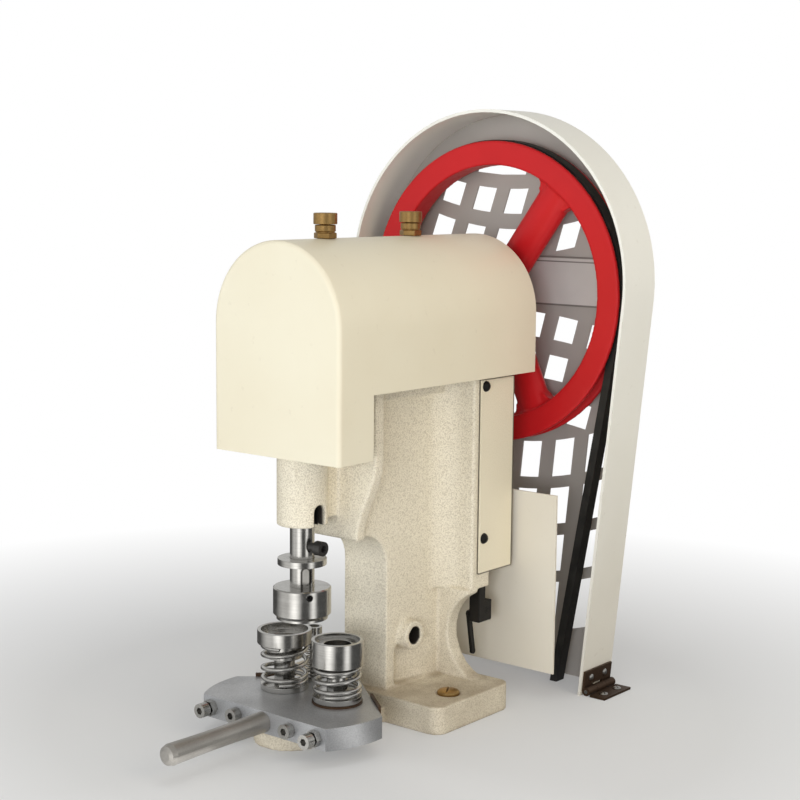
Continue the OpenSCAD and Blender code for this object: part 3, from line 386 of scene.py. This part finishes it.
def castCopy(node, name, look):
    made = addObject(name, nodes[node].data.copy())
    pick(made)
    bpy.ops.object.mode_set(mode="EDIT")
    bpy.ops.mesh.select_all(action="SELECT")
    bpy.ops.mesh.remove_doubles(threshold=look["weld"])
    bpy.ops.object.mode_set(mode="OBJECT")
    applyModifier(made, "REMESH", mode="VOXEL", voxel_size=look["grain"], adaptivity=0.0)
    applyModifier(made, "SMOOTH", factor=0.5, iterations=look["rounds"])
    applyModifier(made, "DECIMATE", ratio=look["keep"])
    return settle(made, look["sharp"])


frameLook = {"weld": 0.01 * mm, "grain": 1.5 * mm, "rounds": 4, "keep": 0.5, "sharp": 80}
frameCast = castCopy("frame_casting", "castFrame", frameLook)
fasten(frameCast, "base", "cream_casting", "frame_casting")
wheelLook = {"weld": 0.01 * mm, "grain": 1.4 * mm, "rounds": 4, "keep": 0.55, "sharp": 80}
wheel = castCopy("flywheel", "castWheel", wheelLook)
fasten(wheel, "wheel", "red_casting", "flywheel")
print("castings:", len(frameCast.data.polygons), len(wheel.data.polygons))


# springs with closed ends

def coilSpring(node, look):
    low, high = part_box(node)
    axis = (low + high) / 2
    wire = look["wire"]
    radius = (high.x - low.x - wire) / 2
    rise = high.z - low.z - wire
    closed = wire * 1.04  # rise of a closed turn
    openEnd = look["closedLow"] + look["open"]
    total = openEnd + look["closedHigh"]
    pitch = (rise - closed * (look["closedLow"] + look["closedHigh"])) / look["open"]
    steps, ease = 40, 0.3
    height, path = 0.0, []
    for i in range(int(total * steps) + 1):
        turn = i / steps
        path.append((turn, height))
        inLow = min(max((turn - look["closedLow"]) / ease + 0.5, 0), 1)
        inHigh = min(max((openEnd - turn) / ease + 0.5, 0), 1)
        height += (closed + (pitch - closed) * min(inLow, inHigh)) / steps
    grow = rise / path[-1][1]
    data = bpy.data.curves.new(node + "Wire", "CURVE")
    data.dimensions = "3D"
    data.bevel_depth = wire / 2
    data.bevel_resolution = 4
    data.use_fill_caps = True
    line = data.splines.new("POLY")
    line.points.add(len(path) - 1)
    for point, (turn, up) in zip(line.points, path):
        angle = math.radians(look["start"]) + turn * math.tau
        point.co = (axis.x + radius * math.cos(angle), axis.y + radius * math.sin(angle),
                    low.z + wire / 2 + up * grow, 1)
    made = addObject(node + "Coil", data)
    pick(made)
    bpy.ops.object.convert(target="MESH")
    settle(made, 60)
    fasten(made, "swing_plate", "spring_steel", node)
    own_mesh(made)
    return made


springLooks = {
    "left_spring": {"joint": "left_die_slide", "travel": 6 * mm, "wire": 4.0 * mm, "start": -60,
                    "closedLow": 1.2, "open": 2.1, "closedHigh": 0.7},
    "right_spring": {"joint": "right_die_slide", "travel": 6 * mm, "wire": 4.0 * mm, "start": -80,
                     "closedLow": 1.3, "open": 1.5, "closedHigh": 0.7},
    "slim_spring": {"joint": "slim_die_slide", "travel": 6 * mm, "wire": 1.6 * mm, "start": 0,
                    "closedLow": 1.0, "open": 8.0, "closedHigh": 1.0},
}
springs = {node: coilSpring(node, look) for node, look in springLooks.items()}
print("springs:", len(springs))


# oilers and slotted heads

def turned(name, at, radius, steps, sides=48):
    deselect()
    bpy.ops.mesh.primitive_circle_add(vertices=sides, radius=radius, fill_type="NGON", location=at)
    made = bpy.context.active_object
    made.name = name
    bpy.ops.object.mode_set(mode="EDIT")
    bpy.ops.mesh.select_all(action="SELECT")
    now = radius
    for wanted, rise in steps:
        bpy.ops.mesh.extrude_region_move(TRANSFORM_OT_translate={"value": (0, 0, rise)})
        share = wanted / now
        if abs(share - 1) > 1e-6:
            bpy.ops.transform.resize(value=(share, share, 1))
        now = wanted
    bpy.ops.mesh.select_all(action="SELECT")
    bpy.ops.mesh.normals_make_consistent(inside=False)
    bpy.ops.object.mode_set(mode="OBJECT")
    return made


def pickFaces(piece, test):
    pick(piece)
    bpy.ops.object.mode_set(mode="EDIT")
    bpy.ops.mesh.select_mode(type="FACE")
    bpy.ops.mesh.select_all(action="DESELECT")
    bpy.ops.object.mode_set(mode="OBJECT")
    for face in piece.data.polygons:
        face.select = test(face)
    bpy.ops.object.mode_set(mode="EDIT")


def oilerCap(at, name):
    look = {"radius": 10.6 * mm, "high": 10.0 * mm, "lip": 0.9 * mm, "rows": 5, "sides": 44,
            "tooth": 0.38 * mm, "gap": 0.35 * mm, "under": 0.5 * mm, "chamfer": 0.7 * mm, "crown": 0.15 * mm}
    radius, half = look["radius"], 0.5 * look["lip"]
    band = (look["high"] - 2 * look["lip"]) / look["rows"]
    steps = [(radius, half), (radius, half)] + [(radius, band)] * look["rows"]
    steps += [(radius, half), (radius - look["chamfer"], half), (radius * 0.55, look["crown"]),
              (radius * 0.2, 0.0)]
    made = turned(name, at, radius - look["under"], steps, look["sides"])
    low, high = at[2] + look["lip"], at[2] + look["high"] - look["lip"]
    pickFaces(made, lambda face: abs(face.normal.z) < 0.1 and low < face.center.z < high)
    bpy.ops.mesh.inset(thickness=look["gap"], depth=look["tooth"], use_individual=True)  # knurl
    bpy.ops.object.mode_set(mode="OBJECT")
    return settle(made, 20)


def oilerBody(at, name, low, high):
    look = {"stem": 5.9 * mm, "flats": 10.3 * mm, "flatsHigh": 5.2 * mm, "waist": 8.4 * mm, "round": 9.3 * mm}
    top = high - at[2]
    made = turned(name, (at[0], at[1], low), look["stem"],
                  [(look["stem"], at[2] - low + 0.5 * mm), (look["waist"], 0.0),
                   (look["waist"], look["flatsHigh"]), (look["round"] - 0.5 * mm, 0.3 * mm),
                   (look["round"], 0.5 * mm), (look["round"], top - look["flatsHigh"] - 2.3 * mm),
                   (look["round"] - 0.6 * mm, 0.5 * mm), (look["round"] * 0.5, 0.2 * mm)])
    hexagon = turned(name + "Flats", at, look["flats"] - 0.5 * mm,
                     [(look["flats"], 0.4 * mm), (look["flats"], look["flatsHigh"] - 1.1 * mm),
                      (look["flats"] - 0.9 * mm, 0.7 * mm)], 6)
    pick(made)
    hexagon.select_set(True)
    bpy.ops.object.join()
    return settle(made, 30)


def slottedHead(at, name, look):
    rings = 6
    steps = [(look["radius"], look["rim"])]
    last = 0.0
    for i in range(1, rings):
        angle = math.pi / 2 * i / rings
        up = look["dome"] * math.sin(angle)
        steps.append((look["radius"] * math.cos(angle), up - last))
        last = up
    made = turned(name, at, look["radius"], steps)
    deselect()
    top = at[2] + look["rim"] + look["dome"]
    bpy.ops.mesh.primitive_cube_add(size=1, location=(at[0], at[1], top), rotation=(0, 0, look["turn"]),
                                    scale=(look["slot"], 4 * look["radius"], 2 * look["deep"]))
    cutter = bpy.context.active_object
    applyModifier(made, "BOOLEAN", operation="DIFFERENCE", object=cutter, solver="EXACT")
    bpy.data.objects.remove(cutter)
    applyModifier(made, "BEVEL", width=look["edge"], segments=2, limit_method="ANGLE",
                  angle_limit=math.radians(40))
    return settle(made, 40)


capLow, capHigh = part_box("oil_cup_caps")
bodyLow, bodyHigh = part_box("oil_cup_bodies")
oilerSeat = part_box("hood")[1].z + 0.1 * mm
capRadius = (capHigh.x - capLow.x) / 2
caps, bodies = [], []
for number, y in enumerate((capLow.y + capRadius, capHigh.y - capRadius)):
    caps.append(oilerCap((0, y, capLow.z), "oilerCap%d" % number))
    bodies.append(oilerBody((0, y, oilerSeat), "oilerBody%d" % number, bodyLow.z, bodyHigh.z))
for piece in caps:
    fasten(piece, "base", "brass", "oil_cup_caps")
for piece in bodies:
    fasten(piece, "base", "brass", "oil_cup_bodies")

footBolt = {"radius": 10.5 * mm, "rim": 2.0 * mm, "dome": 3.4 * mm, "slot": 2.0 * mm, "deep": 2.2 * mm,
            "edge": 0.25 * mm, "turn": 0.5, "seat": 24.6 * mm}
boltReach = mounts["table_bolts"]["dims"]["spacing_x_mm"] / 2 * mm
bolts = []
for side in (-1, 1):
    head = slottedHead((side * boltReach, 0, footBolt["seat"]), "footBolt%d" % side, footBolt)
    bolts.append(fasten(head, "base", "brass"))

leafScrew = {"radius": 4.2 * mm, "rim": 0.3 * mm, "dome": 1.5 * mm, "slot": 0.9 * mm, "deep": 0.9 * mm,
             "edge": 0.12 * mm, "turn": 0.9, "seat": 2.25 * mm, "inset": 8.5 * mm}
leafReach = mounts["guard_hinge_screws"]["dims"]["spacing_y_mm"] / 2 * mm
leafLow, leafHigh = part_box("hinge_table_leaf")
leafScrews = []
for side in (-1, 1):
    at = (leafHigh.x - leafScrew["inset"], (leafLow.y + leafHigh.y) / 2 + side * leafReach,
          leafLow.z + leafScrew["seat"])
    leafScrews.append(fasten(slottedHead(at, "leafScrew%d" % side, leafScrew), "base", "turned_steel"))
print("fasteners:", len(bolts) + len(leafScrews), "oilers:", len(caps))


# edges of the solids that stay are broken by live modifiers

def breakEdges(name, width):
    look = {"weld": 0.02 * mm, "flat": 0.6, "sharp": 38, "segments": 2}
    piece = nodes[name]
    weld = piece.modifiers.new("weld", "WELD")
    weld.merge_threshold = look["weld"]
    flat = piece.modifiers.new("flat", "DECIMATE")
    flat.decimate_type = "DISSOLVE"
    flat.angle_limit = math.radians(look["flat"])
    edge = piece.modifiers.new("edge", "BEVEL")
    edge.width = width
    edge.segments = look["segments"]
    edge.limit_method = "ANGLE"
    edge.angle_limit = math.radians(look["sharp"])
    edge.harden_normals = False
    shade = piece.modifiers.new("shade", "WEIGHTED_NORMAL")
    shade.keep_sharp = True


softEdges = {0.9 * mm: ["die_plate"],
             0.5 * mm: ["upper_die", "left_cup", "right_cup", "ram_collar", "side_cover", "left_base",
                        "right_base", "trip_bracket"]}
for width, names in softEdges.items():
    for name in names:
        breakEdges(name, width)


# finishes on the solids and on the pieces that stand for them

standIns = {"frame_casting": [frameCast], "flywheel": [wheel], "oil_cup_caps": caps, "oil_cup_bodies": bodies}
standIns.update({node: [piece] for node, piece in springs.items()})
bareNodes = set(nodes)


def dress(material, names, extra=()):
    pieces = list(extra)
    for name in names:
        pieces += [nodes[name]] + standIns.get(name, [])
    for piece in pieces:
        piece.data.materials.clear()
        piece.data.materials.append(material)
    bareNodes.difference_update(names)


dress(castPaint(), ["frame_casting"])
dress(coverPaint(), ["side_cover"])
dress(smoothPaint("creamHoodPaint", tint(0.815, 0.755, 0.585), tint(0.785, 0.715, 0.54)), ["hood"])
dress(smoothPaint("creamGuardPaint", tint(0.88, 0.865, 0.79), tint(0.84, 0.82, 0.735), rough=0.36,
                  shadeBelow=260 * mm), ["guard_band"])
dress(smoothPaint("creamShieldPaint", tint(0.775, 0.72, 0.605), tint(0.735, 0.675, 0.555), rough=0.36),
      ["belt_shield"])
# the guard's cream paint made grey and dark: painted shade inside the guard on the back plate
dress(smoothPaint("guardPaintInShade", tint(0.42, 0.385, 0.345), tint(0.34, 0.31, 0.275), rough=0.42),
      ["guard_back_plate"])
dress(strapPaint(), ["guard_cross_strap"])
dress(redPaint(), ["flywheel"])
dress(turnedMetal("ramSteel", ramAxis, keyway=True), ["ram"])
dress(turnedMetal("upperDieSteel", ramAxis), ["ram_collar", "upper_die", "ram_yoke"])
dress(turnedMetal("leftDieSteel", middle("left_cup")), ["left_cup", "left_post", "left_base"])
dress(turnedMetal("rightDieSteel", middle("right_cup")), ["right_cup", "right_post", "right_base"])
dress(turnedMetal("slimDieSteel", middle("slim_cup")), ["slim_cup", "slim_post"])
dress(turnedMetal("shaftSteel", middle("crankshaft"), axis=1),
      ["crankshaft", "clutch_collar", "clutch_pin", "crank_pin", "roller_washer", "wheel_washer"])
dress(plainMetal("blastedAluminium", tint(0.60, 0.605, 0.615), tint(0.36, 0.365, 0.375), rough=0.34,
                 grain=1100, depth=0.14 * mm, metal=0.72, speck=0.6), ["die_plate"])
dress(plainMetal("handleSteel", tint(0.44, 0.42, 0.39), tint(0.24, 0.225, 0.205), rough=0.3, metal=0.8),
      ["handle"])
dress(plainMetal("screwSteel", tint(0.56, 0.55, 0.525), tint(0.11, 0.105, 0.095), rough=0.24, oily=0.85),
      ["stop_screws", "stop_lock_nuts", "die_clamp_screws", "pivot_post", "pivot_washer", "pivot_nut",
       "hinge_screws", "hinge_pin", "shield_spacers"], leafScrews)
dress(plainMetal("springWire", tint(0.62, 0.61, 0.59), tint(0.30, 0.29, 0.275), rough=0.2, grain=700,
                 depth=0.02 * mm), ["left_spring", "right_spring", "slim_spring"])
dress(plainMetal("blackOxide", tint(0.014, 0.013, 0.012), tint(0.007, 0.006, 0.006), rough=0.42, grain=700,
                 depth=0.05 * mm, metal=0.3, shine=0.3),
      ["cover_screws", "die_set_screw", "shield_screws", "wheel_screw", "trip_bracket", "trip_lever",
       "trip_pin", "guide_bush"])
dress(plainMetal("darkSteel", tint(0.085, 0.082, 0.078), tint(0.03, 0.028, 0.026), rough=0.3, grain=700,
                 metal=0.7), ["guide_screw"])
dress(plainMetal("brownedSteel", tint(0.10, 0.058, 0.034), tint(0.035, 0.02, 0.011), rough=0.45, grain=500,
                 depth=0.06 * mm, metal=0.7),
      ["hinge_guard_leaf", "hinge_table_leaf", "stop_bars", "right_washer"])
dress(plainMetal("oldBrass", tint(0.55, 0.35, 0.135), tint(0.18, 0.10, 0.036), rough=0.3, grain=600),
      ["oil_cup_bodies", "oil_cup_caps"], bolts)
dress(plainMetal("oiledBronze", tint(0.45, 0.30, 0.15), tint(0.22, 0.14, 0.07)),
      ["front_bush", "rear_bush", "crank_roller"])
dress(rubber(), ["v_belt"])
print("finishes laid, left bare:", sorted(bareNodes))


# camera and lamps

photoView = {"place": (0.97131, -1.17358, 0.49968), "azimuth": 39.24, "down": 7.71, "roll": 0.53,
             "focal": 1642.12, "pixels": 800, "sensor": 36.0, "nearest": 0.05, "farthest": 60}


def addCamera(view):
    azimuth, down = math.radians(view["azimuth"]), math.radians(view["down"])
    back = Vector((math.sin(azimuth) * math.cos(down), -math.cos(azimuth) * math.cos(down), math.sin(down)))
    turn = (-back).to_track_quat("-Z", "Y").to_matrix() @ Matrix.Rotation(math.radians(view["roll"]), 3, "Z")
    data = bpy.data.cameras.new("photoCamera")
    data.sensor_width = view["sensor"]
    data.lens = view["focal"] * view["sensor"] / view["pixels"]
    data.clip_start, data.clip_end = view["nearest"], view["farthest"]
    made = addObject("photoCamera", data)
    made.location = view["place"]
    made.rotation_euler = turn.to_euler()
    bpy.context.scene.camera = made


lampAim = Vector((0, 0, 0.28))


def addLamp(name, look):
    data = bpy.data.lights.new(name, "AREA")
    data.shape = "RECTANGLE"
    data.size, data.size_y = look["size"]
    data.energy = look["power"]
    data.color = look["colour"]
    made = addObject(name, data)
    made.location = look["at"]
    made.rotation_euler = (lampAim - Vector(look["at"])).to_track_quat("-Z", "Y").to_euler()
    made.visible_glossy = False


lamps = {
    "frontBox": {"at": (-0.7, -2.35, 0.62), "size": (1.8, 1.2), "power": 17, "colour": (0.95, 0.99, 1.0)},
    "lowBox": {"at": (1.2, -2.1, 0.42), "size": (1.0, 0.7), "power": 23, "colour": (0.95, 1.0, 1.1)},
    "sideBox": {"at": (2.4, -0.2, 1.3), "size": (1.2, 1.6), "power": 15, "colour": (1.0, 0.89, 0.70)},
    "topBox": {"at": (0.2, 0.3, 2.4), "size": (1.6, 1.6), "power": 8.5, "colour": (0.95, 1.0, 1.07)},
}
addCamera(photoView)
for name, look in lamps.items():
    addLamp(name, look)


# room, floor and the panels that only the metal mirrors

def addWorld():
    look = {"room": tint(1.0, 0.985, 0.96), "level": 0.45, "backdrop": tint(1, 1, 1)}
    world = bpy.data.worlds.new("studio")
    bpy.context.scene.world = world
    world.use_nodes = True
    sky = Shading(world.node_tree)
    sky.tree.nodes.remove(sky.tree.nodes["Background"])
    room = sky.node("Background", {"Color": look["room"], "Strength": look["level"]})
    seen = sky.node("Background", {"Color": look["backdrop"], "Strength": 1.0})
    # only camera rays see the backdrop
    choose = sky.node("MixShader", {0: sky.node("LightPath"), 1: room, 2: seen})
    sky.feed(sky.tree.nodes["World Output"].inputs, {"Surface": choose})


def addFloor():
    look = {"size": 30, "near": 0.32, "far": 0.85, "colour": tint(0.72, 0.72, 0.71),
            "backdrop": tint(1, 1, 1)}
    deselect()
    bpy.ops.mesh.primitive_grid_add(x_subdivisions=2, y_subdivisions=2, size=look["size"])
    floor = bpy.context.active_object
    floor.name = "floor"
    f = Finish("paleFloor")
    f.lay(colour=look["colour"], rough=0.7, shine=0.2)
    fade = f.spread(f.measure("LENGTH", f.spot), look["near"], look["far"])
    glow = f.node("Emission", {"Color": look["backdrop"], "Strength": 1.0})
    share = (fade * 0.82 + 0.18) * f.node("LightPath")  # camera rays only
    shader = f.node("MixShader", {0: share, 1: Wire(f.tree, f.surface.outputs[0]), 2: glow})
    floor.data.materials.append(f.show(shader))


def addSurround():
    look = {"inner": 0.1, "radius": 3.4, "lift": 0.5 * mm, "high": 1.7, "strength": 1.95,
            "white": tint(1.0, 0.995, 0.97), "black": tint(0, 0, 0), "upper": tint(0.34, 0.34, 0.34 * 0.98),
            "upperFrom": (0.1, 0.5), "near": tint(0.03, 0.03, 0.03), "nearReach": (0.28, 0.1),
            "dark": 0.05, "panels": [{"middle": -68, "half": 10, "soft": 38, "level": 0.36},
                                     {"middle": -25, "half": 4, "soft": 24, "level": 0.90},
                                     {"middle": 47, "half": 3, "soft": 15, "level": 0.68},
                                     {"middle": 150, "half": 10, "soft": 30, "level": 0.06}]}
    deselect()
    bpy.ops.mesh.primitive_circle_add(vertices=96, radius=look["inner"],
                                      location=(ramAxis.x, ramAxis.y, look["lift"]))
    wall = bpy.context.active_object
    wall.name = "surround"
    bpy.ops.object.mode_set(mode="EDIT")
    bpy.ops.mesh.select_mode(type="VERT")
    bpy.ops.mesh.select_all(action="SELECT")
    bpy.ops.mesh.extrude_region_move()
    share = look["radius"] / look["inner"]
    bpy.ops.transform.resize(value=(share, share, 1))
    bpy.ops.mesh.extrude_region_move(TRANSFORM_OT_translate={"value": (0, 0, look["high"])})
    bpy.ops.object.mode_set(mode="OBJECT")
    bpy.ops.object.transform_apply(location=True, rotation=True, scale=True)
    wall.visible_camera = wall.visible_diffuse = wall.visible_shadow = wall.visible_transmission = False
    f = Finish("surroundPanels")
    turn = math.radians(photoView["azimuth"])
    local = f.vector("SUBTRACT", f.spot, ramAxis)
    ahead = f.measure("DOT_PRODUCT", local, (math.sin(turn), -math.cos(turn), 0))
    across = f.measure("DOT_PRODUCT", local, (math.cos(turn), math.sin(turn), 0))
    angle = f.maths("ARCTAN2", across, ahead) * (180 / math.pi)
    light = look["dark"]
    for panel in look["panels"]:
        off = f.maths("ABSOLUTE", angle - panel["middle"])
        light = light + f.spread(off, panel["half"] + panel["soft"], panel["half"]) * panel["level"]
    ring = f.mix(light, look["black"], look["white"])
    ring = f.mix(f.reach(ramAxis, (1, 1, 0), *look["nearReach"]) * 0.5, ring, look["near"])
    height = f.spread(f.node("SeparateXYZ", {0: f.spot}, out=2), *look["upperFrom"])
    colour = f.mix(height, ring, look["upper"])
    glow = f.node("Emission", {"Color": colour, "Strength": look["strength"]})
    wall.data.materials.append(f.show(glow))


addWorld()
addFloor()
addSurround()
bpy.context.scene.view_settings.view_transform = "Standard"
print("stage: camera, four lamps, floor, panels")
